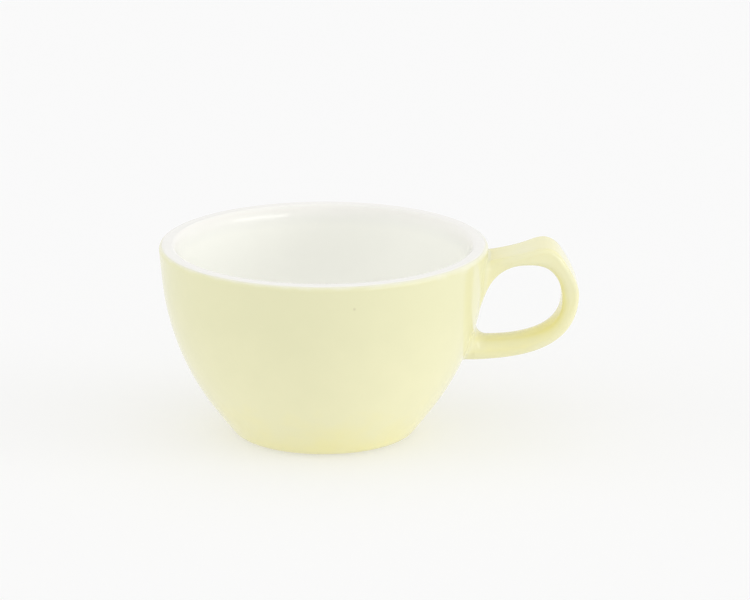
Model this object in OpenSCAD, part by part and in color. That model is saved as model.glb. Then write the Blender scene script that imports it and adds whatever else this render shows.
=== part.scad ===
// Coffee cup: a thick glazed bowl with a strap handle, white inside and pale yellow outside.
// The cup stands on z = 0 with its axis on Z, and the handle points along +X.
// Sizes are those of the finished cup, over its glaze, in millimetres.

/* [Bowl] */
// Outside diameter of the rim
rim_d = 98; // [86:1:112]
// Height from the table to the top of the lip
cup_h = 58.5; // [54:0.5:68]
// Diameter of the base, where the heel has turned under
heel_d = 49; // [42:1:56]
// Rounding of the heel
heel_r = 4; // [2:0.5:6]
// Lean of the upper wall from upright, in degrees
wall_lean = 5.5; // [3:0.5:9]
// Lean of the lower wall from upright, in degrees
heel_lean = 37.5; // [33:0.5:42]
// Radius of the belly between the upper and the lower wall
belly_r = 76; // [50:1:78]
// Thickness of the wall
wall_t = 5; // [4:0.1:6]
// Rounding of the lip on its outer side
lip_r = 1.8; // [1.2:0.1:2.2]
// Thickness of the base between the floor and the recess under it
base_t = 5; // [4:0.5:6]
// Rounding between the inside wall and the floor
floor_r = 10; // [4:0.5:11]

/* [Foot] */
// How far the foot ring stands below the heel
foot_h = 0.5; // [0.4:0.1:1.5]
// How far the foot ring is set in from the base's diameter
foot_inset = 2; // [1:0.5:4]
// Width of the foot ring
foot_w = 3; // [2:0.5:5]
// Rounding of the foot ring's edges
foot_edge_r = 0.3; // [0.1:0.1:0.4]
// Height of the recess inside the foot ring
recess_h = 2; // [1.2:0.1:3]

/* [Glaze and slip] */
// Height of the line between the white and the yellow glaze on the lip's outer rounding, in degrees
glaze_line = 42; // [0:2:70]
// Thickness of every glaze coat
glaze_t = 0.3; // [0.2:0.05:0.6]
// Thickness of the slip that joins the handle to the bowl
slip_t = 0.4; // [0.2:0.05:0.8]

/* [Handle] */
// How far the handle stands out from the rim
handle_reach = 26.9; // [23:0.1:32]
// How far below the lip the upper edge of the handle leaves the wall
root_drop = 4.6; // [4.2:0.1:8]
// How far out from the rim the thumb rest's corner lies
thumb_out = 18.7; // [15:0.1:21]
// How far the thumb rest's corner stands above the lip
thumb_rise = 1.6; // [-2:0.1:4]
// How far the upper edge dips below a straight line on its way to the thumb rest
top_dip = 0.5; // [0:0.1:1]
// Length of the thumb rest's rounding on each side of its corner
thumb_round = 5.4; // [2:0.1:6]
// How far the handle's outermost point lies below the lip
bend_drop = 14.3; // [11:0.1:18]
// Height over which the outer edge turns upright above that point
bend_ease = 2.9; // [1:0.1:6]
// Height of the lower bar's underside above the table
lower_root_h = 23.7; // [20:0.1:27]
// Thickness of the upper bar
upper_bar_t = 4.2; // [3.5:0.1:6]
// Thickness of the outer bend and the lower bar
lower_bar_t = 5.2; // [4:0.1:6.5]
// How far in from the rim's edge the lower bar has levelled out
level_in = 4.5; // [2:0.1:7]
// How far out from the rim the finger hole is highest
hole_peak_out = 11; // [9:0.1:14]
// How far the upper bar's underside sweeps down towards the wall
root_sweep = 14.2; // [9:0.1:16]
// Width of the handle at the thumb rest
upper_bar_w = 16; // [12:0.1:18]
// Width of the handle at the lower root
lower_bar_w = 11.5; // [9:0.1:14]
// Rounding of the handle's edges
handle_edge_r = 2; // [1.1:0.1:2.3]

/* [Hidden] */
$fn = 120;

CLAY = "#e9e4da";
WHITE_GLAZE = "#f4f4ee";
YELLOW_GLAZE = "#f1ecc0";
SLIP = "#d9d2c4";

// Steps along each rounding of the outline
LIP_STEPS = 8;
LINE_STEPS = 4;
BELLY_STEPS = 16;
HEEL_STEPS = 6;
FOOT_STEPS = 3;

// Steps along each stretch of the handle, and around each edge of its section
UPPER_STEPS = 12;
THUMB_STEPS = 6;
OUTER_STEPS = 10;
LOWER_STEPS = 18;
LEVEL_STEPS = 2;
EDGE_STEPS = 4;
// Rings of the handle before its width begins to taper
UPPER_RINGS = UPPER_STEPS + 1;

// Most of a straight run that the belly's rounding takes up
BELLY_SHARE = 0.75;
// How far inside the rim the drop of the handle's upper edge is measured
ROOT_IN = 3;
// How far below the wall's surface the sweep under the upper bar ends
SWEEP_SINK = 0.8;
// How much deeper the handle's upper end runs on before it is cut to the wall
ROOT_DEPTH = 4;
// Most of the handle's thickness that each of its edge roundings takes up
EDGE_SHARE = 0.48;

rim_r = rim_d / 2;
heel_x = heel_d / 2;
floor_h = recess_h + base_t;
foot_out_r = heel_x - foot_inset;
foot_in_r = foot_out_r - foot_w;

// Unit vectors square to the upper and the lower wall, and up along them
upper_out = [cos(wall_lean), -sin(wall_lean)];
upper_up = [sin(wall_lean), cos(wall_lean)];
lower_out = [cos(heel_lean), -sin(heel_lean)];
lower_up = [sin(heel_lean), cos(heel_lean)];
turn = heel_lean - wall_lean;

// Centres of the roundings on the outside: lip, heel and belly
lip_c = [rim_r - lip_r, cup_h - lip_r];
heel_c = [heel_x, foot_h + heel_r];
rise = lip_c + lip_r * upper_out - heel_c - heel_r * lower_out;
upper_run = (rise.y * lower_up.x - rise.x * lower_up.y) / sin(turn);
lower_run = (rise.x * upper_up.y - rise.y * upper_up.x) / sin(turn);
belly_fit = min(belly_r, BELLY_SHARE * min(upper_run, lower_run) / tan(turn / 2));
belly_c = lip_c + lip_r * upper_out - (upper_run - belly_fit * tan(turn / 2)) * upper_up
    - belly_fit * upper_out;
belly_top = belly_c + belly_fit * upper_out;
belly_low = belly_c + belly_fit * lower_out;

// Radius of the outside at a height, on the upper wall, the belly or the lower wall
function wall_x(h) =
    h > belly_top.y ? belly_top.x + (h - belly_top.y) * tan(wall_lean)
    : h > belly_low.y ? belly_c.x + sqrt(belly_fit ^ 2 - (h - belly_c.y) ^ 2)
    : belly_low.x + (h - belly_low.y) * tan(heel_lean);

// Lean of the outside from upright at a height
function lean_at(h) =
    h > belly_top.y ? wall_lean
    : h > belly_low.y ? asin((belly_c.y - h) / belly_fit)
    : heel_lean;

// Centres of the roundings on the inside: lip and floor
lip_in_r = (wall_t - lip_r * (1 + upper_up.x)) / (1 - upper_up.x);
lip_in_c = [lip_c.x, cup_h - lip_in_r];
belly_in_end = belly_c + (belly_fit - wall_t) * lower_out;
floor_fit = min(floor_r, (belly_in_end.y - floor_h) / (1 - lower_up.x));
floor_c_h = floor_h + floor_fit;
floor_c = [(lower_out * heel_c + heel_r - wall_t - floor_fit + lower_up.x * floor_c_h) / lower_up.y,
           floor_c_h];

// Points of the handle's outlines, seen from the side
root_top = [rim_r - ROOT_IN, cup_h - root_drop];
thumb = [rim_r + thumb_out, cup_h + thumb_rise];
out_x = rim_r + handle_reach;
bend_h = cup_h - bend_drop;
hole_x = out_x - lower_bar_t;
level_x = rim_r - level_in;
hole_bottom_h = lower_root_h + lower_bar_t;
dip_turn = (root_top + thumb) / 2 - [0, 2 * top_dip];
hole_peak_x = rim_r + hole_peak_out;
peak_share = (hole_peak_x - root_top.x) / (thumb.x - root_top.x);
hole_peak_h = root_top.y + peak_share * (thumb.y - root_top.y) - 4 * peak_share * (1 - peak_share) * top_dip
    - upper_bar_t;
hole_side_h = bend_h - upper_bar_t / 2;
sweep_h = hole_peak_h - root_sweep;
sweep_end = [wall_x(sweep_h) - SWEEP_SINK, sweep_h];
sweep_turn = [sweep_end.x + root_sweep * tan(lean_at(sweep_h)), hole_peak_h];
root_end_x = min(root_top.x, sweep_end.x) - ROOT_DEPTH;
root_split_h = (hole_bottom_h + sweep_h) / 2;

function unit(v) = v / norm(v);

// Points along an arc
function arc(c, r, from, to, steps) =
    [for (i = [0:steps]) let (a = from + (to - from) * i / steps) c + r * [cos(a), sin(a)]];

// Points along a straight line
function line(p, q, steps) = [for (i = [0:steps]) p + (q - p) * i / steps];

// Points along a curve that leaves p towards c and reaches q from c
function bend(p, c, q, steps) =
    [for (i = [0:steps]) let (t = i / steps) (1 - t) ^ 2 * p + 2 * t * (1 - t) * c + t ^ 2 * q];

// All points but the first, for a stretch that goes on from another
function after(points) = [for (i = [1:len(points) - 1]) points[i]];

function reversed(points) = [for (i = [len(points) - 1:-1:0]) points[i]];

// Lip from the glaze line to its top, a depth below the finished surface
function lip_edge(depth) = arc(lip_c, lip_r - depth, glaze_line, 90, LIP_STEPS);

// Outside from the glaze line to the foot, a depth below the finished surface
function outside(depth) = concat(
    arc(lip_c, lip_r - depth, glaze_line, -wall_lean, LINE_STEPS),
    arc(belly_c, belly_fit - depth, -wall_lean, -heel_lean, BELLY_STEPS),
    arc(heel_c, heel_r - depth, -heel_lean, -90, HEEL_STEPS),
    [[foot_out_r, foot_h + depth]]);

// Inside from the lip's top to the middle of the floor, a depth below the finished surface
function inside(depth) = concat(
    after(arc(lip_in_c, lip_in_r - depth, 90, 180 - wall_lean, LIP_STEPS)),
    arc(belly_c, belly_fit - wall_t + depth, -wall_lean, -heel_lean, BELLY_STEPS),
    arc(floor_c, floor_fit + depth, -heel_lean, -90, HEEL_STEPS),
    [[0, floor_h - depth]]);

// Foot ring and recess, from the heel to the axis
function foot_outline() = concat(
    arc([foot_out_r - foot_edge_r, foot_edge_r], foot_edge_r, 0, -90, FOOT_STEPS),
    arc([foot_in_r + foot_edge_r, foot_edge_r], foot_edge_r, 270, 180, FOOT_STEPS),
    [[foot_in_r, recess_h + glaze_t], [0, recess_h + glaze_t]]);

// Outer edge of the handle from its upper to its lower root
function handle_outer() =
    let (leave = unit([out_x, bend_h + bend_ease] - thumb),
         before = thumb - thumb_round * unit(thumb - dip_turn),
         past = thumb + thumb_round * leave)
    concat(
        [[root_end_x, root_top.y]],
        bend(root_top, dip_turn, before, UPPER_STEPS),
        after(bend(before, thumb, past, THUMB_STEPS)),
        after(bend(past, [out_x, bend_h + bend_ease], [out_x, bend_h], OUTER_STEPS)),
        after(bend([out_x, bend_h], [out_x, lower_root_h], [level_x, lower_root_h], LOWER_STEPS)),
        after(line([level_x, lower_root_h], [heel_x, lower_root_h], LEVEL_STEPS)));

// Inner edge of the handle, with as many points
function handle_inner() =
    let (peak = [hole_peak_x, hole_peak_h], side = [hole_x, hole_side_h])
    concat(
        [[root_end_x, sweep_h]],
        bend(sweep_end, sweep_turn, peak, UPPER_STEPS),
        after(bend(peak, [hole_x, hole_peak_h], side, THUMB_STEPS + OUTER_STEPS)),
        after(bend(side, [hole_x, hole_bottom_h], [level_x, hole_bottom_h], LOWER_STEPS)),
        after(line([level_x, hole_bottom_h], [heel_x, hole_bottom_h], LEVEL_STEPS)));

// Section of the handle, a rectangle with rounded edges: [across, through]
function section(w, t, r) = [
    for (k = [0:3], i = [0:EDGE_STEPS])
        let (a = 90 * (k + i / EDGE_STEPS), sx = k == 0 || k == 3 ? 1 : -1, sy = k < 2 ? 1 : -1)
        [sx * (w / 2 - r) + r * cos(a), sy * (t / 2 - r) + r * sin(a)]];

// Rings of points along the handle, a depth below the finished surface
function handle_rings(depth) =
    let (outer = handle_outer(), inner = handle_inner(), last = len(outer) - 1)
    [for (i = [0:last])
        let (taper = max(0, (i - UPPER_RINGS) / (last - UPPER_RINGS)),
             w = upper_bar_w + (lower_bar_w - upper_bar_w) * taper,
             through = unit(outer[i] - inner[i]),
             t = norm(outer[i] - inner[i]),
             mid = (outer[i] + inner[i]) / 2,
             edge = min(handle_edge_r, EDGE_SHARE * t) - depth)
        [for (s = section(w - 2 * depth, t - 2 * depth, edge))
            [mid.x + s.y * through.x, s.x, mid.y + s.y * through.y]]];

// Closed solid through rings of equally many points
module loft(rings) {
    n = len(rings[0]);
    last = len(rings) - 1;
    sides = [for (i = [0:last - 1], j = [0:n - 1], half = [0, 1])
        let (k = (j + 1) % n)
        half == 0 ? [i * n + j, (i + 1) * n + k, i * n + k] : [i * n + j, (i + 1) * n + j, (i + 1) * n + k]];
    first_cap = [for (j = [1:n - 2]) [0, j, j + 1]];
    last_cap = [for (j = [1:n - 2]) [last * n, last * n + j + 1, last * n + j]];
    polyhedron([for (ring = rings, p = ring) p], concat(sides, first_cap, last_cap));
}

// The handle's strap before its ends are cut to the wall, a depth below the finished surface
module strap(depth) {
    loft(handle_rings(depth));
}

// All that lies within the bowl's outside, a depth below the finished surface
module cup_body(depth) {
    line = outside(depth);
    rotate_extrude() polygon(concat([[0, line[0].y]], line, [[0, foot_h + depth]]));
}

// The slip on the wall within the strap, both roots at once
module slip_patches() {
    intersection() {
        strap(glaze_t);
        difference() {
            cup_body(glaze_t - slip_t);
            cup_body(glaze_t);
        }
    }
}

// Keeps what lies between two heights around the handle
module between(low, high) {
    intersection() {
        children();
        translate([0, -rim_r, low]) cube([out_x, rim_d, high - low]);
    }
}

// Fired clay bowl with its foot ring
module bowl() {
    color(CLAY) rotate_extrude() polygon(concat(
        reversed(inside(glaze_t)), reversed(lip_edge(glaze_t)), after(outside(glaze_t)), foot_outline()));
}

// White glaze over the inside and the top of the lip
module inner_glaze() {
    color(WHITE_GLAZE) rotate_extrude() polygon(concat(
        lip_edge(0), inside(0), reversed(inside(glaze_t)), reversed(lip_edge(glaze_t))));
}

// Pale yellow glaze over the outside, open where the handle is joined
module outer_glaze() {
    color(YELLOW_GLAZE) difference() {
        rotate_extrude() polygon(concat(outside(0), reversed(outside(glaze_t))));
        strap(0);
    }
}

// Yellow glaze in the recess within the foot ring
module base_glaze() {
    color(YELLOW_GLAZE) translate([0, 0, recess_h]) cylinder(r = foot_in_r, h = glaze_t);
}

// Clay strap of the handle
module handle() {
    color(CLAY) difference() {
        strap(glaze_t);
        cup_body(glaze_t - slip_t);
    }
}

// Yellow glaze around the handle and over the edges of its slip joints
module handle_glaze() {
    color(YELLOW_GLAZE) difference() {
        strap(0);
        strap(glaze_t);
        cup_body(glaze_t);
    }
}

// Slip between the handle's upper end and the wall
module upper_slip_joint() {
    color(SLIP) between(root_split_h, cup_h) slip_patches();
}

// Slip between the handle's lower end and the wall
module lower_slip_joint() {
    color(SLIP) between(foot_h, root_split_h) slip_patches();
}

bowl();
inner_glaze();
outer_glaze();
base_glaze();
handle();
handle_glaze();
upper_slip_joint();
lower_slip_joint();
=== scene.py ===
"""Looks of a coffee cup: a thick bowl and a strap handle under white and pale yellow glaze.

The construction model is loaded as a fixed frame. Each operator adds one clay piece or one coat of
glaze around it, in metres and in the frame's own axes: Z up, the handle along +X, the table at z = 0.
"""

import math

import bpy
import numpy as np
from bpy.props import FloatProperty, FloatVectorProperty, PointerProperty
from bpy.types import Operator, Panel, PropertyGroup
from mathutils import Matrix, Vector


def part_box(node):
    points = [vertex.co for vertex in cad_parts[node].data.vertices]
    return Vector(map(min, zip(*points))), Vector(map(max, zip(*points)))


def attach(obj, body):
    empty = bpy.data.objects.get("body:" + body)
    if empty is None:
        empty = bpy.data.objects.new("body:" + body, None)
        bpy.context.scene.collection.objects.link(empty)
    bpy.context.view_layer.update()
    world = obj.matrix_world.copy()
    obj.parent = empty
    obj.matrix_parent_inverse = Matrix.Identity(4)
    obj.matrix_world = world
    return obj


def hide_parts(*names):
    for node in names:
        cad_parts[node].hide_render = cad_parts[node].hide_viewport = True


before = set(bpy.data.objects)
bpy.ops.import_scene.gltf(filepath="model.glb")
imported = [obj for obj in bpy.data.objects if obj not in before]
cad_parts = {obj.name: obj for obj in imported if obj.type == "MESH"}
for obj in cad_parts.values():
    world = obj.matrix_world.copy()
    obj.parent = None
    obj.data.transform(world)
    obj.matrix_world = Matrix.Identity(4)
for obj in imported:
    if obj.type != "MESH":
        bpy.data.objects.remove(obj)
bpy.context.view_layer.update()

bl_info = {
    "name": "Coffee cup",
    "version": (1, 0, 0),
    "blender": (4, 5, 0),
    "location": "View3D > Sidebar > Cup",
    "description": "Builds a two-tone glazed coffee cup around its construction model",
    "category": "Add Mesh",
}

MM = 0.001

# Lowest and highest corners of the construction's coats, which set the main sizes
INNER_LOW, INNER_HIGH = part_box("inner_glaze")
OUTER_LOW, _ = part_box("outer_glaze")
BASE_LOW, BASE_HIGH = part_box("base_glaze")
_, STRAP_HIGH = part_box("handle_glaze")

# Thickness of a coat of glaze
COAT = BASE_HIGH.z - BASE_LOW.z

# Mesh steps around the cup, over each rounding, over its belly and along each straight run
AROUND = 320
ARC_STEPS = 14
BELLY_STEPS = 28
RUN_STEPS = 12

# Steps of the handle's stretches, and finer steps within each of them
ROOT_STEPS = 1
UPPER_STEPS = 12
THUMB_STEPS = 6
OUTER_STEPS = 10
LOWER_STEPS = 18
EARLY_STEPS = 1
LEVEL_STEPS = 2
FINE = 8

# Rows along the handle, and columns over its section's edges, sides and faces
STRAP_ROWS = 240
EDGE_COLUMNS = 10
SIDE_COLUMNS = 8
FACE_COLUMNS = 16

# Distance under which two points count as one, and the least radius at which a turn is measured
SAME_POINT = 1e-9
LEAST_RADIUS = 1 * MM

# How deep the outer glaze's colour is at three heights: deeper and lighter towards the heel, partly gathered
# glaze and partly painted light from the floor
GATHERED_AND_LIT_HEIGHTS = (3 * MM, 16 * MM, 47 * MM)
GATHERED_AND_LIT = (0.68, 0.5, 0)

# Cosines of the turn from the handle between which the white has run further down
HANDLE_SIDE = (0.1, 0.9)

# How far inside the rim the handle's upper drop is measured, and how much deeper its ends run on
ROOT_IN = 3 * MM
ROOT_DEPTH = 4 * MM

# How far the upper bar's sweep ends under the wall, and the handle's coat under the wall's coat
SWEEP_SINK = 0.8 * MM
COAT_SINK = 0.06 * MM

# Thickness of the slip under the handle's ends
SLIP = 0.4 * MM

# The most of the strap's thickness that an edge takes up, and the share of a crown that stands proud of it
EDGE_SHARE = 0.48
CROWN_RISE = 0.4

# Share of the upper bar with the root's edges, and steps before and past the thumb rest with its edges
ROOT_EDGE_SHARE = 0.7
THUMB_EDGE_BEFORE = 1
THUMB_EDGE_PAST = 2

# How much larger the upper and the lower fillet are towards the hole, and smaller away from it
FILLET_LEAN = (0.35, 0.65)

# How far a fillet spreads for each unit that it lies under the wall
RUN_OUT = 8

# How closely the rows crowd at both ends of the strap, where 0 is evenly and 1 is most closely
CROWDING = 0.985

# How far out from the rim the strap begins to widen towards its upper and lower root, and over which length
FLARE_OUT = (6 * MM, 8 * MM)
FLARE_RUN = (7.5 * MM, 12 * MM)

# Depth of a glaze with its usual colour, and shares between which it fades into the next glaze
USUAL_DEPTH = 0.5
EDGE_RANGE = (0.15, 0.85)

# Patterns: size and detail of their noise, the part of its range that counts, and the values laid onto that
MOTTLE = (9 * MM, 3, (0.3, 0.7), (-0.07, 0.07))
WAVER = (5 * MM, 2, (0.3, 0.7), (-0.08, 0.08))
CLOUDS = (6 * MM, 4, (0.35, 0.75), (0, 0.35))
GRAINS = (0.35 * MM, 2, (0.62, 0.72), (0, 0.7))
UNEVEN_GLOSS = (2 * MM, 2, (0.3, 0.7))
GLOSS_SPREAD = 0.02

# Size and detail of the noise that raises the glaze's waves and the clay's pits
WAVES = (3.2 * MM, 1)
PITS = (0.25 * MM, 3)
PIT_STRENGTH = 0.6
PIT_DEPTH = 0.04 * MM

# Index of refraction of the glaze
REFRACTION = 1.55

# Radii between which the speck fades out, and how strongly it colours the glaze
SPECK_RADII = (0.15 * MM, 0.6 * MM)
SPECK_SHARE = 0.3

# Roughness of the clay between its grains and on them
CLAY_ROUGHNESS = (0.82, 0.95)

# Numbers of a Mix node's two colour inputs and of its colour output
MIX_COLOURS = (6, 7)
MIX_RESULT = 2


def linear(code):
    """Linear colour of a hexadecimal sRGB code: ((c + 0.055) / 1.055) to the power 2.4 above the toe."""
    c = np.array([int(code[i:i + 2], 16) for i in (1, 3, 5)]) / 255
    return tuple(np.where(c <= 0.04045, c / 12.92, ((c + 0.055) / 1.055) ** 2.4).tolist())


def length(name, size, description):
    """A length property in metres."""
    return FloatProperty(name=name, description=description, default=size, subtype="DISTANCE",
                         unit="LENGTH", precision=4)


def angle(name, degrees, description):
    """An angle property, whose default is given in degrees."""
    return FloatProperty(name=name, description=description, default=math.radians(degrees),
                         subtype="ANGLE", unit="ROTATION")


def colour(name, code, description):
    """A colour property, whose default is given as an sRGB code."""
    return FloatVectorProperty(name=name, description=description, default=linear(code), size=3,
                               min=0, max=1, subtype="COLOR")


def number(name, value, description):
    """A plain number property."""
    return FloatProperty(name=name, description=description, default=value, min=0)


class CupBowl(PropertyGroup):
    """Sizes of the finished bowl, over its glaze."""

    rim_radius: length("Rim radius", -OUTER_LOW.x, "Outside radius of the rim")
    height: length("Height", INNER_HIGH.z, "Height from the table to the top of the lip")
    heel_radius: length("Base radius", 24.5 * MM, "Radius of the base, where the heel has turned under")
    heel_round: length("Heel rounding", 4 * MM, "Rounding of the heel")
    wall_lean: angle("Wall lean", 5.5, "Lean of the upper wall from upright")
    heel_lean: angle("Heel lean", 37.5, "Lean of the lower wall from upright")
    belly_radius: length("Belly radius", 76 * MM, "Radius of the belly between the two walls")
    wall: length("Wall", 5.5 * MM, "Thickness of the wall")
    lip_round: length("Lip rounding", 1.5 * MM, "Rounding of the lip on its outer side")
    lip_crest: length("Lip crest", 2.2 * MM, "Width of the lip's level top")
    lip_fall: length("Lip fall", 4.5 * MM, "Height over which the lip rounds off into the inside wall")
    glaze_line: angle("Glaze line", 60, "Height of the line between the glazes on the lip's outer rounding")
    fade: length("Fade", 0.9 * MM, "Length over which the two glazes fade into each other")
    long_fade: length("Long fade", 1.8 * MM, "The same on the handle's side, where the white has run further")
    floor_height: length("Floor height", INNER_LOW.z + COAT, "Height of the inside floor")
    floor_round: length("Floor rounding", 10 * MM, "Rounding between the inside wall and the floor")
    foot_height: length("Foot height", 0.5 * MM, "How far the foot ring stands below the heel")
    foot_inset: length("Foot inset", 2 * MM, "How far the foot ring is set in from the base radius")
    foot_edge: length("Foot edge", 0.3 * MM, "Rounding of the foot ring's edges")
    recess_radius: length("Recess radius", BASE_HIGH.x, "Radius of the recess inside the foot ring")
    recess_height: length("Recess height", BASE_LOW.z, "Height of the glazed recess above the table")


class CupHandle(PropertyGroup):
    """Sizes of the finished handle, over its glaze."""

    reach: length("Reach", STRAP_HIGH.x + OUTER_LOW.x, "How far it stands out from the rim")
    root_drop: length("Root drop", 4.45 * MM, "How far below the lip its upper edge leaves the wall")
    thumb_out: length("Thumb rest out", 18.9 * MM, "How far out from the rim the thumb rest's corner lies")
    thumb_rise: length("Thumb rest rise", 1.2 * MM, "How far the thumb rest's corner stands above the lip")
    top_dip: length("Top dip", 0.5 * MM, "How far the upper edge dips on its way to the thumb rest")
    thumb_round: length("Thumb rounding", 5.5 * MM, "Length of the rounding on each side of that corner")
    bend_drop: length("Bend drop", 14.9 * MM, "How far its outermost point lies below the lip")
    bend_ease: length("Bend ease", 4.1 * MM, "Height over which the outer edge turns upright")
    lower_height: length("Lower height", 23.3 * MM, "Height of the lower bar's underside")
    upper_bar: length("Upper bar", 3.97 * MM, "Thickness of the upper bar")
    bend_bar: length("Bend bar", 5.0 * MM, "Thickness of the outer bend")
    lower_bar: length("Lower bar", 6.1 * MM, "Thickness of the lower bar at its root")
    level_in: length("Level in", 4.25 * MM, "How far in from the rim the lower bar's underside is level")
    hole_level: length("Hole level", 1.1 * MM, "How far in from the rim the hole's lower edge levels out")
    peak_out: length("Hole peak out", 11.05 * MM, "How far out from the rim the finger hole is highest")
    root_sweep: length("Root sweep", 14.25 * MM, "How far the upper bar sweeps down towards the wall")
    upper_width: length("Upper width", 16.9 * MM, "Width at the thumb rest")
    lower_width: length("Lower width", 9 * MM, "Width at the lower root")
    upper_flare: length("Upper flare", 0.8 * MM, "How much it widens on each side at its upper root")
    lower_flare: length("Lower flare", 1.3 * MM, "How much it widens on each side at its lower root")
    root_edge: length("Root edge", 3 * MM, "Rounding of its outer edges at the upper root")
    thumb_edge: length("Thumb edge", 1.4 * MM, "Rounding of its outer edges at the thumb rest")
    bend_edge: length("Bend edge", 1.4 * MM, "Rounding of its outer edges at the outermost point")
    lower_edge: length("Lower edge", 2.8 * MM, "Rounding of its edges on the lower bar and inside the bend")
    hole_edge: length("Hole edge", 1.6 * MM, "Rounding of its edges above the finger hole")
    crown: length("Crown", 1.3 * MM, "How far the lower bar's faces bulge between their edges")
    upper_fillet: length("Upper fillet", 2.4 * MM, "Fillet at the sides of its upper end")
    lower_fillet: length("Lower fillet", 2.9 * MM, "Fillet at the sides of its lower end")


class CupFinish(PropertyGroup):
    """Colours and gloss of the glazes and the clay."""

    yellow: colour("Yellow", "#efecc3", "Yellow glaze at its usual thickness")
    yellow_thin: colour("Yellow, thin", "#e8e6bd", "Yellow glaze run thin, up the wall and on edges")
    # The deep yellow is lighter than the usual one: partly gathered glaze, partly painted light low down and
    # on the handle's top, and painted shade inside the handle's bend
    yellow_deep_and_painted_light: colour("Yellow, deep", "#f8f0a6", "Yellow glaze gathered, low down and in corners")
    white: colour("White", "#f9f9f4", "White glaze at its usual thickness")
    # The thin white is partly glaze run thin and partly painted shade on the lip; the deep white is partly
    # gathered glaze and partly painted light on the inside wall
    white_thin_and_painted_shade: colour("White, thin", "#f4f2ed", "White glaze where it has run thin on an edge")
    white_deep_and_painted_light: colour("White, deep", "#fdfdf7", "White glaze where it has gathered below the lip")
    clay: colour("Clay", "#e6dfd2", "Bare fired clay")
    clay_grain: colour("Clay grain", "#cfc3b0", "Darker grains in the bare clay")
    slip: colour("Slip", "#d6cdbc", "Slip between the handle and the wall")
    speck: colour("Speck", "#b7ab84", "Iron speck in the yellow glaze")
    gloss: number("Roughness", 0.12, "Roughness of the glaze's surface, where 0 mirrors sharply")
    peel: length("Surface relief", 0.03 * MM, "Height of the glaze's faint waves")


class CupStage(PropertyGroup):
    """Floor, light and camera."""

    floor: colour("Floor", "#fbfbfb", "Plain pale floor")
    backdrop: colour("Backdrop", "#f9f9f9", "Plain pale background beyond the floor")
    glow: number("Floor glow", 0.45, "Share of the floor's brightness that comes through it from below")
    sky: number("Sky", 0.56, "Strength of the even light at the back and the sides")
    sky_rise: number("Sky rise", 0.51, "How much stronger that light is overhead")
    key: number("Key light", 1.2, "Strength of the low soft light from the right")
    fill: number("Fill light", 0.45, "Strength of the low soft light from the left")
    glint: number("Glint light", 2.4, "Power in watts of the panel that only draws the highlights")
    distance: length("Camera distance", 1500 * MM, "Distance of the camera from the cup's middle")
    elevation: angle("Camera elevation", 16.4, "Height of the camera above the horizon")


def arc(centre, radius, start, end, steps):
    """Points on an arc: the centre plus the radius times the cosine and sine of even angles."""
    a = np.linspace(start, end, steps + 1)
    return np.asarray(centre) + radius * np.column_stack((np.cos(a), np.sin(a)))


def bend(start, corner, end, steps):
    """Points on a curve that leaves start towards corner and reaches end from corner:
    (1 - t) squared start, plus 2 t (1 - t) corner, plus t squared end."""
    t = np.linspace(0, 1, steps + 1)[:, None]
    return (1 - t) ** 2 * np.asarray(start) + 2 * t * (1 - t) * np.asarray(corner) + t**2 * np.asarray(end)


def join(*stretches):
    """One line through stretches that follow each other, with a gap between two filled by even steps."""
    line = stretches[0]
    for stretch in stretches[1:]:
        if np.linalg.norm(stretch[0] - line[-1]) > SAME_POINT:
            line = np.vstack((line, np.linspace(line[-1], stretch[0], RUN_STEPS + 1)[1:]))
        line = np.vstack((line, stretch[1:]))
    return line


def run(line):
    """Distance along a line from its first point to each of its points."""
    return np.concatenate(([0], np.cumsum(np.linalg.norm(np.diff(line, axis=0), axis=1))))


def ease(x, low, high):
    """Smooth step from 0 at low to 1 at high: 3 t squared less 2 t cubed."""
    t = np.clip((x - low) / (high - low), 0, 1)
    return t * t * (3 - 2 * t)


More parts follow.
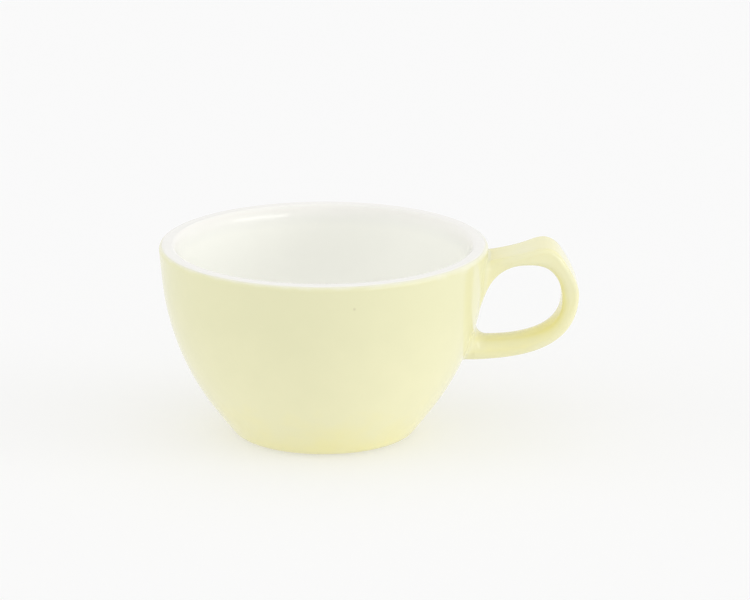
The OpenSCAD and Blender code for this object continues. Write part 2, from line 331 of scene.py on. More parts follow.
class BowlShape:
    """The bowl's finished outline in the half plane of radius and height.

    An upper and a lower wall lean outwards and meet in a round belly, which touches both. The heel and the
    inside floor are arcs. The lip is an arc on its outer side, a level crest and a quarter of an ellipse on
    its inner side. A depth insets each stretch, so the clay under a coat of glaze follows its surface."""

    def __init__(self, size):
        self.size = size
        up, low = size.wall_lean, size.heel_lean
        self.out = np.array(((math.cos(up), -math.sin(up)), (math.cos(low), -math.sin(low))))
        self.lip = np.array((size.rim_radius - size.lip_round, size.height - size.lip_round))
        self.heel = np.array((size.heel_radius, size.foot_height + size.heel_round))
        reach = np.array((self.out[0] @ self.lip + size.lip_round, self.out[1] @ self.heel + size.heel_round))
        self.belly = np.linalg.solve(self.out, reach - size.belly_radius)
        self.inner_reach = reach[0] - size.wall
        floor_h = size.floor_height + size.floor_round
        floor_reach = reach[1] - size.wall - size.floor_round
        self.floor = np.array(((floor_reach + math.sin(low) * floor_h) / math.cos(low), floor_h))
        self.foot_radius = size.heel_radius - size.foot_inset

    def outside(self, depth):
        """From the glaze line on the lip down to the foot."""
        s = self.size
        return join(
            arc(self.lip, s.lip_round - depth, s.glaze_line, -s.wall_lean, ARC_STEPS),
            arc(self.belly, s.belly_radius - depth, -s.wall_lean, -s.heel_lean, BELLY_STEPS),
            arc(self.heel, s.heel_round - depth, -s.heel_lean, -math.pi / 2, ARC_STEPS),
            np.array([(self.foot_radius, s.foot_height + depth)]),
        )

    def inside(self, depth):
        """From the glaze line over the lip's top and down to the middle of the floor."""
        s = self.size
        return join(
            arc(self.lip, s.lip_round - depth, s.glaze_line, math.pi / 2, ARC_STEPS),
            self.inner_lip(depth),
            arc(self.belly, s.belly_radius - s.wall + depth, -s.wall_lean, -s.heel_lean, BELLY_STEPS),
            arc(self.floor, s.floor_round + depth, -s.heel_lean, -math.pi / 2, ARC_STEPS),
            np.array([(0, s.floor_height - depth)]),
        )

    def inner_lip(self, depth):
        """From the lip's crest to the inside wall: a quarter of an ellipse that leaves the crest level and
        reaches the wall along its lean, its middle plus the sine times one half axis and the cosine times
        the other."""
        s = self.size
        height = np.array((s.height - depth, s.height - s.lip_fall))
        radius = (self.inner_reach + depth + math.sin(s.wall_lean) * height) / math.cos(s.wall_lean)
        corner, end = np.column_stack((radius, height))
        crest = np.array((self.lip[0] - s.lip_crest, height[0]))
        middle = crest + end - corner
        a = np.linspace(math.pi / 2, 0, 2 * ARC_STEPS + 1)[:, None]
        return middle + np.sin(a) * (crest - middle) + np.cos(a) * (end - middle)

    def foot(self):
        """The bare foot ring, from the end of the outer glaze to the middle of the recess."""
        s = self.size
        half = math.pi / 2
        return join(
            arc((self.foot_radius - s.foot_edge, s.foot_edge), s.foot_edge, 0, -half, ARC_STEPS // 2),
            arc((s.recess_radius + s.foot_edge, s.foot_edge), s.foot_edge, -half, -2 * half, ARC_STEPS // 2),
            np.array([(s.recess_radius, s.recess_height + COAT)]),
            np.array([(0, s.recess_height + COAT)]),
        )

    def gathered(self, height):
        """How deep the outer glaze's colour is at a height: thin under the rim, deep at the heel, where its
        lighter colour is partly gathered glaze and partly painted light from the floor.
        """
        return np.interp(height, GATHERED_AND_LIT_HEIGHTS, GATHERED_AND_LIT)

    def white_share(self, points, below):
        """Share of white at a distance below the glaze line: a half on the line, and on each side of it that
        half falls by e over the fade, which is halved on the white and longer on the yellow towards the
        handle."""
        s = self.size
        radius = np.hypot(points[:, 0], points[:, 1]).clip(LEAST_RADIUS)
        aside = ease(points[:, 0] / radius, *HANDLE_SIDE)
        fade = np.where(below > 0, s.fade + (s.long_fade - s.fade) * aside, s.fade / 2)
        half = 0.5 * np.exp(-np.abs(below) / fade)
        return np.where(below > 0, half, 1 - half)

    def lean(self, height):
        """Lean of the outside at a height: the arc sine of the belly's drop, kept between the walls'."""
        s = self.size
        drop = (self.belly[1] - height) / s.belly_radius
        return np.arcsin(np.clip(drop, math.sin(s.wall_lean), math.sin(s.heel_lean)))

    def radius(self, height):
        """Radius of the outside at a height: the belly's circle, run on along the walls above and below."""
        lean = self.lean(height)
        on_belly = self.belly[1] - self.size.belly_radius * np.sin(lean)
        return self.belly[0] + self.size.belly_radius * np.cos(lean) + (height - on_belly) * np.tan(lean)

    def gap(self, points):
        """Level distance of points outside the wall's surface, below nought within it."""
        return np.hypot(points[..., 0], points[..., 1]) - self.radius(points[..., 2])

    def normal(self, points):
        """Outward normal of the wall beside points: level outwards, tipped down by the lean."""
        lean = self.lean(points[..., 2])
        level = np.cos(lean) / np.hypot(points[..., 0], points[..., 1])
        return np.stack((points[..., 0] * level, points[..., 1] * level, -np.sin(lean)), axis=-1)


class HandleShape:
    """The handle's strap: two outlines in the plane y = 0 and a rounded section between them.

    Both outlines run over the same numbers, so the section at a number spans from the inner to the outer
    point there. Around the section run three numbers: a place across, a place through and an angle."""

    def __init__(self, size, bowl):
        self.size = size
        rim, top = bowl.size.rim_radius, bowl.size.height
        self.rim = rim
        root = np.array((rim - ROOT_IN, top - size.root_drop))
        thumb = np.array((rim + size.thumb_out, top + size.thumb_rise))
        out_x = rim + size.reach
        bend_h = top - size.bend_drop
        level_x = rim - size.level_in
        deep_x = bowl.size.heel_radius
        hole_x = out_x - size.bend_bar
        hole_low = size.lower_height + size.lower_bar
        dip = (root + thumb) / 2 - np.array((0, 2 * size.top_dip))
        rise = (thumb - dip) / np.linalg.norm(thumb - dip)
        fall = np.array((out_x, bend_h + size.bend_ease)) - thumb
        fall /= np.linalg.norm(fall)
        peak_x = rim + size.peak_out
        share = (peak_x - root[0]) / (thumb[0] - root[0])
        top_h = root[1] + share * (thumb[1] - root[1]) - 4 * share * (1 - share) * size.top_dip
        peak = np.array((peak_x, top_h - size.upper_bar))
        sweep_h = peak[1] - size.root_sweep
        sweep = np.array((bowl.radius(sweep_h) - SWEEP_SINK, sweep_h))
        turn = np.array((sweep[0] + size.root_sweep * math.tan(bowl.lean(sweep_h)), peak[1]))
        end_x = min(root[0], sweep[0]) - ROOT_DEPTH
        side = np.array((hole_x, bend_h - size.upper_bar / 2))
        lower, hole_end = (level_x, size.lower_height), (rim - size.hole_level, hole_low)
        before, past = thumb - size.thumb_round * rise, thumb + size.thumb_round * fall
        self.outer = join(
            np.linspace((end_x, root[1]), root, ROOT_STEPS * FINE + 1),
            bend(root, dip, before, UPPER_STEPS * FINE),
            bend(before, thumb, past, THUMB_STEPS * FINE),
            bend(past, (out_x, bend_h + size.bend_ease), (out_x, bend_h), OUTER_STEPS * FINE),
            bend((out_x, bend_h), (out_x, size.lower_height), lower, LOWER_STEPS * FINE),
            np.linspace(lower, (deep_x, size.lower_height), LEVEL_STEPS * FINE + 1),
        )
        self.inner = join(
            np.linspace((end_x, sweep_h), sweep, ROOT_STEPS * FINE + 1),
            bend(sweep, turn, peak, UPPER_STEPS * FINE),
            bend(peak, (hole_x, peak[1]), side, (THUMB_STEPS + OUTER_STEPS) * FINE),
            bend(side, (hole_x, hole_low), hole_end, (LOWER_STEPS - EARLY_STEPS) * FINE),
            np.linspace(hole_end, (level_x, hole_low), EARLY_STEPS * FINE + 1),
            np.linspace((level_x, hole_low), (deep_x, hole_low), LEVEL_STEPS * FINE + 1),
        )
        self.numbers = np.arange(len(self.outer)) / FINE
        self.taper_from = ROOT_STEPS + UPPER_STEPS
        thumb_at = self.taper_from + THUMB_STEPS / 2
        bend_at = self.taper_from + THUMB_STEPS + OUTER_STEPS
        lower_at = bend_at + LOWER_STEPS / 2
        self.edge_places = (0, self.taper_from * ROOT_EDGE_SHARE, thumb_at - THUMB_EDGE_BEFORE,
                            thumb_at + THUMB_EDGE_PAST, bend_at, lower_at)
        self.edge_sizes = (size.root_edge, size.root_edge, size.thumb_edge, size.thumb_edge, size.bend_edge,
                           size.lower_edge)
        self.hole_places = (self.taper_from, self.taper_from + THUMB_STEPS)
        self.lower_places = (bend_at, lower_at)
        knots = np.cumsum((0,) + (SIDE_COLUMNS, EDGE_COLUMNS, FACE_COLUMNS, EDGE_COLUMNS) * 2)
        columns = np.arange(knots[-1])
        self.across = np.interp(columns, knots, (1, 1, 1, -1, -1, -1, -1, 1, 1))
        self.through = np.interp(columns, knots, (-1, 1, 1, 1, 1, -1, -1, -1, -1))
        self.angle = np.interp(columns, knots, np.radians((0, 0, 90, 90, 180, 180, 270, 270, 360)))

    def along(self, outline, place):
        """Point of an outline at running numbers, between its own points by even shares."""
        return np.stack([np.interp(place, self.numbers, outline[:, k]) for k in (0, 1)], axis=-1)

    def surface(self, place, depth):
        """Points and section normals at running numbers (rows) and section columns, a depth below the finish:
        a rounded rectangle whose corner centres sit one edge radius inside its half width and thickness.
        The half width tapers evenly from the thumb rest on, and grows towards each root by the flare times
        the squared share of its run. On the lower bar the two faces bulge by the crown times 1 less the
        squared place across."""
        s = self.size
        place = np.broadcast_to(place, (len(place), len(self.angle)))
        outer, inner = self.along(self.outer, place), self.along(self.inner, place)
        middle = (outer + inner) / 2
        thick = np.linalg.norm(outer - inner, axis=-1)
        direction = (outer - inner) / thick[..., None]
        taper = np.clip((place - self.taper_from) / (self.numbers[-1] - self.taper_from), 0, 1)
        half_width = (s.upper_width + (s.lower_width - s.upper_width) * taper) / 2
        upper = place < self.taper_from
        near = (np.where(upper, *FLARE_OUT) - middle[..., 0] + self.rim) / np.where(upper, *FLARE_RUN)
        half_width += np.where(upper, s.upper_flare, s.lower_flare) * np.clip(near, 0, 1) ** 2
        bulge = s.crown * ease(place, *self.lower_places)
        half = thick / 2 - (1 - CROWN_RISE) * bulge
        hole_edge = np.interp(place, self.hole_places, (s.hole_edge, s.lower_edge))
        hole_edge = np.minimum(hole_edge, EDGE_SHARE * 2 * half)
        outer_edge = np.interp(place, self.edge_places, self.edge_sizes)
        outer_edge = np.minimum(outer_edge, EDGE_SHARE * 4 * half - hole_edge)
        share = (self.through + 1) / 2
        edge = hole_edge + (outer_edge - hole_edge) * share
        across = self.across * (half_width - edge) + (edge - depth) * np.cos(self.angle)
        through = (half - outer_edge) * share - (half - hole_edge) * (1 - share)
        through += (edge - depth + bulge * (1 - (across / half_width) ** 2)) * np.sin(self.angle)
        points = np.stack((middle[..., 0] + through * direction[..., 0], across,
                           middle[..., 1] + through * direction[..., 1]), axis=-1)
        level = np.broadcast_to(np.cos(self.angle), place.shape)
        normals = np.stack((np.sin(self.angle) * direction[..., 0], level,
                            np.sin(self.angle) * direction[..., 1]), axis=-1)
        return points, normals


def wall_crossing(numbers, gap, inside, outside, sink):
    """Running number at which each column comes out of the wall, by even shares between two rows."""
    column = np.arange(gap.shape[1])
    low, high = gap[inside, column], gap[outside, column]
    share = (-sink - low) / (high - low)
    return numbers[inside] + share * (numbers[outside] - numbers[inside])


def strap_surface(bowl, handle, depth, sink):
    """The strap from wall to wall: a grid with rows along it and columns around its section.

    Each column starts and ends where it is sunk in the wall's surface. Close to the wall its points move
    out along the section's normal by a fillet of radius r, r less the root of r squared less (r - gap)
    squared, as far as the strap meets the wall squarely, and then back to their own gap from the wall. Under
    the wall's surface the fillet runs out at a shallow angle. The rows lie at t less the crowding times the
    sine of a whole turn times t, over a whole turn, so they lie closest at both ends.
    Gives the points and the section's normals."""
    gap = bowl.gap(handle.surface(handle.numbers[:, None], depth)[0])
    clear = gap > -sink
    first = clear.argmax(axis=0)
    last = len(clear) - 1 - clear[::-1].argmax(axis=0)
    begin = wall_crossing(handle.numbers, gap, first - 1, first, sink)
    end = wall_crossing(handle.numbers, gap, last + 1, last, sink)
    t = np.linspace(0, 1, STRAP_ROWS)[:, None]
    crowded = t - CROWDING * np.sin(2 * np.pi * t) / (2 * np.pi)
    points, normals = handle.surface(begin + (end - begin) * crowded, depth)
    fillet = np.where(t < 0.5, handle.size.upper_fillet, handle.size.lower_fillet)
    fillet = fillet * (1 - np.where(t < 0.5, *FILLET_LEAN) * np.sin(handle.angle))
    gap = bowl.gap(points)
    near = np.clip(gap, 0, fillet)
    flare = fillet - np.sqrt(fillet**2 - (fillet - near) ** 2) + RUN_OUT * np.clip(-gap, 0, None)
    square = np.clip(1 - np.sum(normals * bowl.normal(points), axis=-1), 0, 1)
    points = points + normals * (flare * square)[..., None]
    level = (gap - bowl.gap(points)) / np.hypot(points[..., 0], points[..., 1])
    points = points + points * np.stack((level, level, 0 * level), axis=-1)
    return points, normals


def grid_faces(rows, columns, wrap):
    """Four-cornered faces of a grid that closes across its columns, and across its rows if wrapped."""
    i = np.arange(rows if wrap else rows - 1)[:, None]
    j = np.arange(columns)[None, :]
    k = (j + 1) % columns
    here, there = i * columns, (i + 1) % rows * columns
    return np.stack((here + j, here + k, there + k, there + j), axis=-1).reshape(-1, 4)


def fan(first, columns, pole, turned):
    """Triangles from a ring, whose points are numbered from first, to a pole, turned over on request."""
    j = np.arange(columns)
    k = (j + 1) % columns
    ring = (k, j) if turned else (j, k)
    return np.stack((first + ring[0], first + ring[1], np.full(columns, pole)), axis=-1).tolist()


def revolve(line, closed):
    """Turns a line of radius and height about Z: radius times cosine, radius times sine, height.

    A closed line gives a ring. Any other starts and ends on the axis, and closes there in two poles.
    Gives the points, the faces and the line's own index of each point."""
    a = np.linspace(0, 2 * np.pi, AROUND, endpoint=False)
    rings = line if closed else line[1:-1]
    points = np.stack((rings[:, :1] * np.cos(a), rings[:, :1] * np.sin(a),
                       np.repeat(rings[:, 1:], AROUND, axis=1)), axis=-1).reshape(-1, 3)
    faces = grid_faces(len(rings), AROUND, closed).tolist()
    index = np.repeat(np.arange(len(line)) if closed else np.arange(1, len(line) - 1), AROUND)
    if not closed:
        count = len(points)
        faces += fan(0, AROUND, count, True) + fan(count - AROUND, AROUND, count + 1, False)
        points = np.vstack((points, [(0, 0, line[0, 1]), (0, 0, line[-1, 1])]))
        index = np.concatenate((index, (0, len(line) - 1)))
    return points, faces, index


def cap_ends(grid):
    """Closes a tube, given as a grid of points, with a fan from the mean of each end row."""
    rows, columns = grid.shape[:2]
    count = rows * columns
    points = np.vstack((grid.reshape(-1, 3), grid[0].mean(axis=0), grid[-1].mean(axis=0)))
    faces = grid_faces(rows, columns, wrap=False).tolist()
    faces += fan(0, columns, count, True) + fan(count - columns, columns, count + 1, False)
    return points, faces


def inside_out(points, faces):
    """True if the faces point inwards: each is cut into a fan of triangles, and the triple products of
    their corners, six times the enclosed volume, add up to less than nought."""
    fans = np.array([(f[0], f[i], f[i + 1]) for f in faces for i in range(1, len(f) - 1)])
    a, b, c = points[fans[:, 0]], points[fans[:, 1]], points[fans[:, 2]]
    return np.einsum("ij,ij->i", a, np.cross(b, c)).sum() < 0


def add_piece(name, points, faces, material, **shares):
    """Adds a smooth mesh object at the origin, with a number per point for each named share."""
    if inside_out(points, faces):
        faces = [face[::-1] for face in faces]
    mesh = bpy.data.meshes.new(name)
    mesh.from_pydata(points.tolist(), [], faces)
    mesh.polygons.foreach_set("use_smooth", np.ones(len(mesh.polygons), dtype=bool))
    for key, values in shares.items():
        attribute = mesh.attributes.new(key, "FLOAT", "POINT")
        attribute.data.foreach_set("value", np.ascontiguousarray(values, dtype=np.float32))
    mesh.materials.append(material)
    mesh.update()
    piece = bpy.data.objects.new(name, mesh)
    bpy.context.scene.collection.objects.link(piece)
    return piece


def add_node(tree, kind, inputs, **settings):
    """Adds a shader node. An input given a socket is linked to it, and any other is set to its value."""
    made = tree.nodes.new(kind)
    for key, value in settings.items():
        setattr(made, key, value)
    for key, value in inputs.items():
        if isinstance(value, bpy.types.NodeSocket):
            tree.links.new(value, made.inputs[key])
        else:
            made.inputs[key].default_value = value
    return made


def mix_colours(tree, share, first, second):
    """Blend of two colours by a share. A colour is a socket or three numbers."""
    made = tree.nodes.new("ShaderNodeMix")
    made.data_type = "RGBA"
    tree.links.new(share, made.inputs["Factor"])
    for place, value in zip(MIX_COLOURS, (first, second)):
        if isinstance(value, bpy.types.NodeSocket):
            tree.links.new(value, made.inputs[place])
        else:
            made.inputs[place].default_value = (*value, 1)
    return made.outputs[MIX_RESULT]


def noise(tree, coordinates, size, detail):
    """Noise between 0 and 1 whose features have about the given size."""
    made = add_node(tree, "ShaderNodeTexNoise",
                    {"Vector": coordinates, "Scale": 1 / size, "Detail": detail})
    return made.outputs["Fac"]


def spread(tree, value, low, high, to_low, to_high):
    """A value from one range laid onto another, kept within it."""
    made = add_node(tree, "ShaderNodeMapRange", {"Value": value, "From Min": low, "From Max": high,
                                                 "To Min": to_low, "To Max": to_high})
    return made.outputs["Result"]


def pattern(tree, coordinates, size, detail, part, values):
    """Noise whose features have about the given size, a part of its range laid onto a range of values."""
    return spread(tree, noise(tree, coordinates, size, detail), *part, *values)


def total(tree, first, second):
    """Sum of two values."""
    made = tree.nodes.new("ShaderNodeMath")
    for place, value in enumerate((first, second)):
        tree.links.new(value, made.inputs[place])
    return made.outputs[0]


def new_material(name):
    """A plain node material. Gives it with its tree, its shader and the coordinates on its object."""
    material = bpy.data.materials.new(name)
    material.use_nodes = True
    tree = material.node_tree
    shader = next(n for n in tree.nodes if n.type == "BSDF_PRINCIPLED")
    coordinates = tree.nodes.new("ShaderNodeTexCoord").outputs["Object"]
    return material, tree, shader, coordinates


def glaze_material(name, thin, usual, deep, beyond, finish, speck=None):
    """Glossy glaze. Its colour follows a depth that stands partly for its thickness and partly for painted
    light and shade, with faint mottling, and fades into the glaze that begins beyond its edge along a
    slightly wavering line."""
    material, tree, shader, coordinates = new_material(name)
    # The depth carries the glaze's thickness together with painted light and shade
    depth = add_node(tree, "ShaderNodeAttribute", {}, attribute_name="glaze_depth").outputs["Fac"]
    edge = add_node(tree, "ShaderNodeAttribute", {}, attribute_name="glaze_edge").outputs["Fac"]
    tone = total(tree, depth, pattern(tree, coordinates, *MOTTLE))
    surface = mix_colours(tree, spread(tree, tone, 0, USUAL_DEPTH, 0, 1), thin, usual)
    surface = mix_colours(tree, spread(tree, tone, USUAL_DEPTH, 1, 0, 1), surface, deep)
    over = total(tree, edge, pattern(tree, coordinates, *WAVER))
    surface = mix_colours(tree, spread(tree, over, *EDGE_RANGE, 0, 1), surface, beyond)
    if speck is not None:
        away = add_node(tree, "ShaderNodeVectorMath", {0: coordinates, 1: speck}, operation="DISTANCE")
        spot = spread(tree, away.outputs["Value"], *SPECK_RADII, SPECK_SHARE, 0)
        surface = mix_colours(tree, spot, surface, finish.speck)
    tree.links.new(surface, shader.inputs["Base Color"])
    gloss = (finish.gloss - GLOSS_SPREAD, finish.gloss + GLOSS_SPREAD)
    rough = pattern(tree, coordinates, *UNEVEN_GLOSS, gloss)
    tree.links.new(rough, shader.inputs["Roughness"])
    relief = add_node(tree, "ShaderNodeBump", {"Height": noise(tree, coordinates, *WAVES),
                                               "Strength": 1.0, "Distance": finish.peel})
    tree.links.new(relief.outputs["Normal"], shader.inputs["Normal"])
    shader.inputs["IOR"].default_value = REFRACTION
    return material


def yellow_material(name, finish, speck=None):
    """Pale yellow glaze, which fades into the white at the lip."""
    return glaze_material(name, finish.yellow_thin, finish.yellow, finish.yellow_deep_and_painted_light, finish.white,
                          finish, speck)


def clay_material(name, body, grain):
    """Matt fired clay with darker grains, a faint cloudiness and a dry, finely pitted surface."""
    material, tree, shader, coordinates = new_material(name)
    surface = mix_colours(tree, pattern(tree, coordinates, *CLOUDS), body, grain)
    grains = pattern(tree, coordinates, *GRAINS)
    surface = mix_colours(tree, grains, surface, grain)
    tree.links.new(surface, shader.inputs["Base Color"])
    pits = add_node(tree, "ShaderNodeBump", {"Height": noise(tree, coordinates, *PITS),
                                             "Strength": PIT_STRENGTH, "Distance": PIT_DEPTH})
    tree.links.new(pits.outputs["Normal"], shader.inputs["Normal"])
    tree.links.new(spread(tree, grains, 0, 1, *CLAY_ROUGHNESS), shader.inputs["Roughness"])
    return material


class COFFEE_CUP_OT_clay(Operator):
    """Clay bowl with its bare foot ring, and the clay and slip of the handle"""

    bl_idname = "coffee_cup.clay"
    bl_label = "Clay"

    def execute(self, context):
        finish = context.scene.cup_finish
        bowl = BowlShape(context.scene.cup_bowl)
        clay = clay_material("bare_clay", finish.clay, finish.clay_grain)
        slip = clay_material("slip", finish.slip, finish.clay_grain)
        line = join(bowl.inside(COAT)[::-1], bowl.outside(COAT), bowl.foot())
        points, faces, _ = revolve(line, closed=False)
        piece = add_piece("bowl_clay", points, faces, clay)
        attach(piece, "root")
        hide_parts("bowl")
        handle = HandleShape(context.scene.cup_handle, bowl)
        points, faces = cap_ends(strap_surface(bowl, handle, COAT, COAT - SLIP)[0])
        piece = add_piece("handle_clay", points, faces, clay)
        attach(piece, "root")
        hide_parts("handle")
        for node in ("upper_slip_joint", "lower_slip_joint"):
            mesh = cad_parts[node].data
            mesh.materials.clear()
            mesh.materials.append(slip)
        return {"FINISHED"}


class COFFEE_CUP_OT_white_glaze(Operator):
    """White glaze over the lip and the inside"""

    bl_idname = "coffee_cup.white_glaze"
    bl_label = "White glaze"

    # Where its colour depth is set, from below the lip's fall up to its top, and the depth at each
    BELOW_FALL = 2 * MM
    ABOVE_FALL = 1 * MM
    BELOW_TOP = 1.2 * MM
    # Deep and lighter inside as partly painted light against the bowl's inner shade, thin and darker on the
    # lip as partly painted shade
    THICKNESS_AND_LIGHT = (1, 0.4, 0.15, 0.1)

    def execute(self, context):
        finish = context.scene.cup_finish
        bowl = BowlShape(context.scene.cup_bowl)
        over, under = bowl.inside(0), bowl.inside(COAT)
        line = np.vstack((over[::-1], under))
        from_edge = np.concatenate((run(over)[::-1], run(under)))
        top, fall = bowl.size.height, bowl.size.height - bowl.size.lip_fall
        heights = (fall - self.BELOW_FALL, fall + self.ABOVE_FALL, top - self.BELOW_TOP, top)
        depth = np.interp(line[:, 1], heights, self.THICKNESS_AND_LIGHT)
        material = glaze_material("white_glaze", finish.white_thin_and_painted_shade, finish.white, finish.white_deep_and_painted_light,
                                  finish.yellow_thin, finish)
        points, faces, index = revolve(line, closed=False)
        edge = 1 - bowl.white_share(points, -from_edge[index])
        piece = add_piece("white_coat", points, faces, material, glaze_depth=depth[index], glaze_edge=edge)
        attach(piece, "root")
        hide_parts("inner_glaze")
        return {"FINISHED"}


class COFFEE_CUP_OT_yellow_glaze(Operator):
    """Pale yellow glaze over the outside of the bowl"""

    bl_idname = "coffee_cup.yellow_glaze"
    bl_label = "Yellow glaze"

    # Height of the speck, and its turn about the axis from the handle
    SPECK_HEIGHT = 51.6 * MM
    SPECK_TURN = math.radians(-79.5)

    def execute(self, context):
        finish = context.scene.cup_finish
        bowl = BowlShape(context.scene.cup_bowl)
        top, under = bowl.outside(0), bowl.outside(COAT)
        line = np.vstack((top, under[::-1]))
        from_edge = np.concatenate((run(top), run(under)[::-1]))
        # Deeper and lighter towards the heel: partly gathered glaze, partly painted light from the floor
        depth = bowl.gathered(line[:, 1])
        radius = bowl.radius(self.SPECK_HEIGHT)
        speck = (radius * math.cos(self.SPECK_TURN), radius * math.sin(self.SPECK_TURN), self.SPECK_HEIGHT)
        points, faces, index = revolve(line, closed=True)
        edge = bowl.white_share(points, from_edge[index])
        piece = add_piece("yellow_coat", points, faces, yellow_material("yellow_glaze", finish, speck),
                          glaze_depth=depth[index], glaze_edge=edge)
        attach(piece, "root")
        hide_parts("outer_glaze")
        return {"FINISHED"}


class COFFEE_CUP_OT_handle_glaze(Operator):
    """Pale yellow glaze around the handle, flared into the wall at both ends"""

    bl_idname = "coffee_cup.handle_glaze"
    bl_label = "Handle glaze"

    # Depth of the coat's colour, what is added or taken off, and the shares of the strap's length where that
    # is
    USUAL = 0.55
    EDGE_LESS = 0.1
    LOWER_MORE = 0.13
    LOWER_FROM = (0.45, 0.75)
    # Painted light: a deeper, lighter yellow on the upper bar's faces that look up
    TOP_PAINTED_LIGHT = 0.15
    TOP_LIGHT_UNTIL = (0.4, 0.6)
    # Painted shade: a deeper, more saturated yellow on the hole's side inside the bend
    BEND_PAINTED_SHADE = 0.4
    BEND_SHADE_FROM = (0.38, 0.52)
    BEND_SHADE_UNTIL = (0.62, 0.75)

    # Distance from the wall within which it takes on the thickness of the wall's coat
    BESIDE_WALL = 1.4 * MM

    def execute(self, context):
        finish = context.scene.cup_finish
        bowl = BowlShape(context.scene.cup_bowl)
        handle = HandleShape(context.scene.cup_handle, bowl)
        outer, normals = strap_surface(bowl, handle, 0, COAT_SINK)
        inner = strap_surface(bowl, handle, COAT, COAT_SINK)[0]
        points = np.vstack((outer, inner[::-1])).reshape(-1, 3)
        faces = grid_faces(2 * STRAP_ROWS, len(handle.angle), wrap=True).tolist()
        depth = self.thickness(bowl, handle, outer, normals)
        depth = np.vstack((depth, depth[::-1])).ravel()
        piece = add_piece("handle_coat", points, faces, yellow_material("handle_yellow_glaze", finish),
                          glaze_depth=depth, glaze_edge=np.zeros(len(points)))
        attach(piece, "root")
        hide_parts("handle_glaze")
        return {"FINISHED"}

    def thickness(self, bowl, handle, points, normals):
        """Depth of the coat's colour on the strap's grid: the usual one, more along the lower bar, less on
        edges, and the wall's own beside the wall. On the upper bar's top it is more, as painted light on
        faces that look up, and inside the bend more, as painted shade."""
        row = np.linspace(0, 1, STRAP_ROWS)[:, None]
        edge = np.abs(np.sin(2 * handle.angle))
        bend_shade = ease(row, *self.BEND_SHADE_FROM) * (1 - ease(row, *self.BEND_SHADE_UNTIL))
        depth = self.USUAL + self.LOWER_MORE * ease(row, *self.LOWER_FROM) - self.EDGE_LESS * edge
        # Painted light on the upper bar's top, and painted shade inside the bend
        depth = depth + self.TOP_PAINTED_LIGHT * (1 - ease(row, *self.TOP_LIGHT_UNTIL)) * np.clip(normals[..., 2], 0, 1)
        depth += self.BEND_PAINTED_SHADE * bend_shade * np.clip(-np.sin(handle.angle), 0, 1)
        depth = np.clip(depth, 0, 1)
        beside = ease(-bowl.gap(points), -self.BESIDE_WALL, 0)
        return depth + (bowl.gathered(points[..., 2]) - depth) * beside


class COFFEE_CUP_OT_base_glaze(Operator):
    """Patch of yellow glaze in the recess under the base, drawn up a little at its edge"""

    bl_idname = "coffee_cup.base_glaze"
    bl_label = "Base glaze"

    # How far its edge is drawn up, its thickness, how much thinner its edge is, and the shares of its radius
    # from which both set in
    DRAWN_UP = 0.12 * MM
    DRAWN_FROM = 0.97
    USUAL = 0.55
    EDGE_LESS = 0.3
    EDGE_FROM = 0.95

    def execute(self, context):
        finish = context.scene.cup_finish
        size = context.scene.cup_bowl
        whole = size.recess_radius
        radius = np.linspace(0, whole, 4 * RUN_STEPS + 1)
        low = size.recess_height + self.DRAWN_UP * ease(radius, self.DRAWN_FROM * whole, whole)
        lower = np.column_stack((radius, low))
        upper = np.column_stack((radius, np.full_like(radius, size.recess_height + COAT)))
        line = np.vstack((lower, upper[::-1]))
        points, faces, index = revolve(line, closed=False)
        depth = self.USUAL - self.EDGE_LESS * ease(line[:, 0], self.EDGE_FROM * whole, whole)
        piece = add_piece("base_coat", points, faces, yellow_material("base_yellow_glaze", finish),
                          glaze_depth=depth[index], glaze_edge=np.zeros(len(points)))
        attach(piece, "root")
        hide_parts("base_glaze")
        return {"FINISHED"}


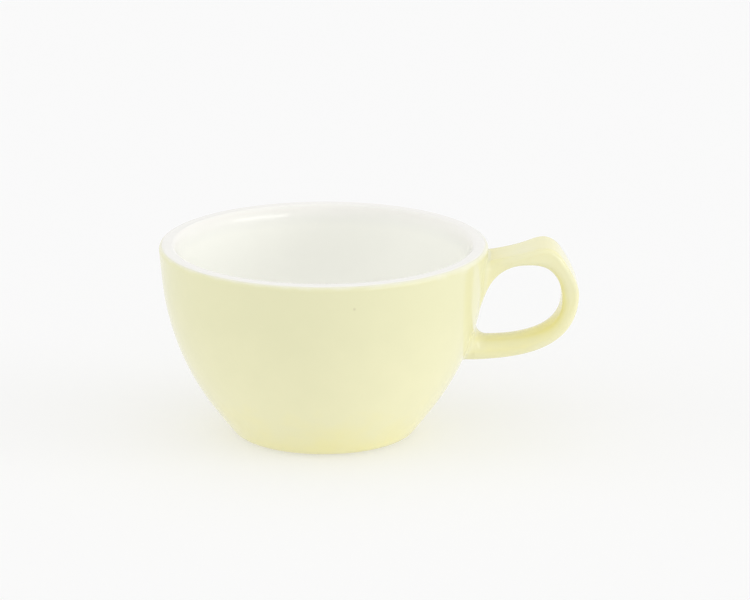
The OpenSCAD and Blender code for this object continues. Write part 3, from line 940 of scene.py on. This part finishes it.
class COFFEE_CUP_OT_stage(Operator):
    """Plain pale floor, soft light and the camera"""

    bl_idname = "coffee_cup.stage"
    bl_label = "Stage"

    # Place of the cup's middle in the picture, the picture's size in pixels and its scale
    PICTURE = (750, 600)
    MIDDLE_PIXEL = (323.8, 336.1)
    PIXELS_PER_M = 3345
    MIDDLE_HEIGHT = 29.5 * MM

    # Half the floor's width in metres, and the camera's sensor in millimetres
    FLOOR_HALF = 12.0
    SENSOR = 36

    # Direction along which the sky grows stronger
    SKY_AXIS = (0, -0.28, 1)

    # Direction towards each soft light, and its width in degrees
    KEY_FROM = (0.95, -0.2, 0.08)
    KEY_WIDTH = 40
    FILL_FROM = (-0.95, -0.1, 0.2)
    FILL_WIDTH = 50

    # Place and size in metres of the panel that draws the highlights
    PANEL_PLACE = (1.15, -0.9, 0.37)
    PANEL_SIZE = (1.3, 0.25)

    def execute(self, context):
        look = context.scene.cup_stage
        context.scene.view_settings.view_transform = "Standard"
        self.add_floor(look)
        self.add_sky(context.scene, look)
        self.add_sun("key_light", self.KEY_FROM, self.KEY_WIDTH, look.key)
        self.add_sun("fill_light", self.FILL_FROM, self.FILL_WIDTH, look.fill)
        self.add_panel("glint_light", self.PANEL_PLACE, look.glint)
        self.add_camera(context.scene, look)
        return {"FINISHED"}

    def add_floor(self, look):
        """A wide plain sheet under the foot, lit from above and, for a share of it, glowing from below."""
        h = self.FLOOR_HALF
        mesh = bpy.data.meshes.new("floor")
        mesh.from_pydata([(-h, -h, 0), (h, -h, 0), (h, h, 0), (-h, h, 0)], [], [(0, 1, 2, 3)])
        material = bpy.data.materials.new("pale_floor")
        material.use_nodes = True
        tree = material.node_tree
        tree.nodes.clear()
        sheet = add_node(tree, "ShaderNodeBsdfDiffuse", {"Color": (*look.floor, 1)})
        glow = add_node(tree, "ShaderNodeEmission", {"Color": (*look.floor, 1), "Strength": 1})
        both = add_node(tree, "ShaderNodeMixShader", {0: look.glow, 1: sheet.outputs[0], 2: glow.outputs[0]})
        output = tree.nodes.new("ShaderNodeOutputMaterial")
        tree.links.new(both.outputs[0], output.inputs["Surface"])
        mesh.materials.append(material)
        floor = bpy.data.objects.new("floor", mesh)
        bpy.context.scene.collection.objects.link(floor)

    def add_sky(self, scene, look):
        """Light from all round that grows towards the zenith, and less towards the front. The camera
        and reflections see the backdrop."""
        scene.world = bpy.data.worlds.new("studio")
        scene.world.use_nodes = True
        tree = scene.world.node_tree
        tree.nodes.clear()
        path = tree.nodes.new("ShaderNodeLightPath")
        seen = path.outputs["Is Camera Ray"]
        for ray in ("Is Glossy Ray", "Is Transmission Ray"):
            either = add_node(tree, "ShaderNodeMath", {0: seen, 1: path.outputs[ray]}, operation="MAXIMUM")
            seen = either.outputs[0]
        direction = tree.nodes.new("ShaderNodeTexCoord").outputs["Generated"]
        rise = add_node(tree, "ShaderNodeVectorMath", {0: direction, 1: self.SKY_AXIS},
                        operation="DOT_PRODUCT")
        strength = spread(tree, rise.outputs["Value"], 0, 1, look.sky, look.sky + look.sky_rise)
        light = add_node(tree, "ShaderNodeBackground", {"Color": (1, 1, 1, 1), "Strength": strength})
        back = add_node(tree, "ShaderNodeBackground", {"Color": (*look.backdrop, 1), "Strength": 1})
        both = add_node(tree, "ShaderNodeMixShader", {0: seen, 1: light.outputs[0], 2: back.outputs[0]})
        output = tree.nodes.new("ShaderNodeOutputWorld")
        tree.links.new(both.outputs[0], output.inputs["Surface"])

    def add_lamp(self, name, kind, place, strength):
        """A lamp of a kind at a place, turned to face the cup."""
        lamp = bpy.data.objects.new(name, bpy.data.lights.new(name, kind))
        lamp.data.energy = strength
        lamp.location = place
        lamp.rotation_euler = Vector(place).to_track_quat("Z", "Y").to_euler()
        bpy.context.scene.collection.objects.link(lamp)
        return lamp

    def add_sun(self, name, towards, width, strength):
        """A wide soft light from one side, the same over the whole floor, which shows in no gloss."""
        sun = self.add_lamp(name, "SUN", towards, strength)
        sun.data.angle = math.radians(width)
        sun.visible_glossy = False

    def add_panel(self, name, place, power):
        """A wide, low panel that faces the cup and shows only in its gloss."""
        panel = self.add_lamp(name, "AREA", place, power)
        panel.data.shape = "RECTANGLE"
        panel.data.size, panel.data.size_y = self.PANEL_SIZE
        panel.visible_diffuse = False

    def add_camera(self, scene, look):
        """Camera at its distance and elevation from the cup's middle, turned to bring that to its pixel."""
        middle = Vector((0, 0, self.MIDDLE_HEIGHT))
        back = Vector((0, -math.cos(look.elevation), math.sin(look.elevation)))
        upwards = Vector((0, math.sin(look.elevation), math.cos(look.elevation)))
        right = (self.PICTURE[0] / 2 - self.MIDDLE_PIXEL[0]) / self.PIXELS_PER_M
        higher = (self.MIDDLE_PIXEL[1] - self.PICTURE[1] / 2) / self.PIXELS_PER_M
        aim = middle + Vector((right, 0, 0)) + higher * upwards
        camera = bpy.data.cameras.new("camera")
        camera.sensor_width = self.SENSOR
        camera.lens = self.PIXELS_PER_M * look.distance * camera.sensor_width / self.PICTURE[0]
        eye = bpy.data.objects.new("camera", camera)
        eye.location = middle + back * look.distance
        eye.rotation_euler = (aim - eye.location).to_track_quat("-Z", "Y").to_euler()
        scene.collection.objects.link(eye)
        scene.camera = eye


PIECES = (COFFEE_CUP_OT_clay, COFFEE_CUP_OT_white_glaze, COFFEE_CUP_OT_yellow_glaze,
          COFFEE_CUP_OT_handle_glaze, COFFEE_CUP_OT_base_glaze, COFFEE_CUP_OT_stage)
GROUPS = {"cup_bowl": CupBowl, "cup_handle": CupHandle, "cup_finish": CupFinish, "cup_stage": CupStage}


class COFFEE_CUP_PT_sidebar(Panel):
    """Sizes, colours and pieces of the cup"""

    bl_idname = "COFFEE_CUP_PT_sidebar"
    bl_label = "Coffee cup"
    bl_space_type = "VIEW_3D"
    bl_region_type = "UI"
    bl_category = "Cup"

    def draw(self, context):
        for group in GROUPS:
            box = self.layout.box()
            settings = getattr(context.scene, group)
            for key in settings.__annotations__:
                box.prop(settings, key)
        for piece in PIECES:
            self.layout.operator(piece.bl_idname)


CLASSES = (*GROUPS.values(), *PIECES, COFFEE_CUP_PT_sidebar)


def register():
    for cls in CLASSES:
        bpy.utils.register_class(cls)
    for name, group in GROUPS.items():
        setattr(bpy.types.Scene, name, PointerProperty(type=group))


def unregister():
    for name in GROUPS:
        delattr(bpy.types.Scene, name)
    for cls in reversed(CLASSES):
        bpy.utils.unregister_class(cls)


def main():
    """Registers the add-on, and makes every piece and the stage."""
    register()
    bpy.ops.coffee_cup.clay()
    bpy.ops.coffee_cup.white_glaze()
    bpy.ops.coffee_cup.yellow_glaze()
    bpy.ops.coffee_cup.handle_glaze()
    bpy.ops.coffee_cup.base_glaze()
    bpy.ops.coffee_cup.stage()
    bpy.context.view_layer.update()


if __name__ == "__main__":
    main()
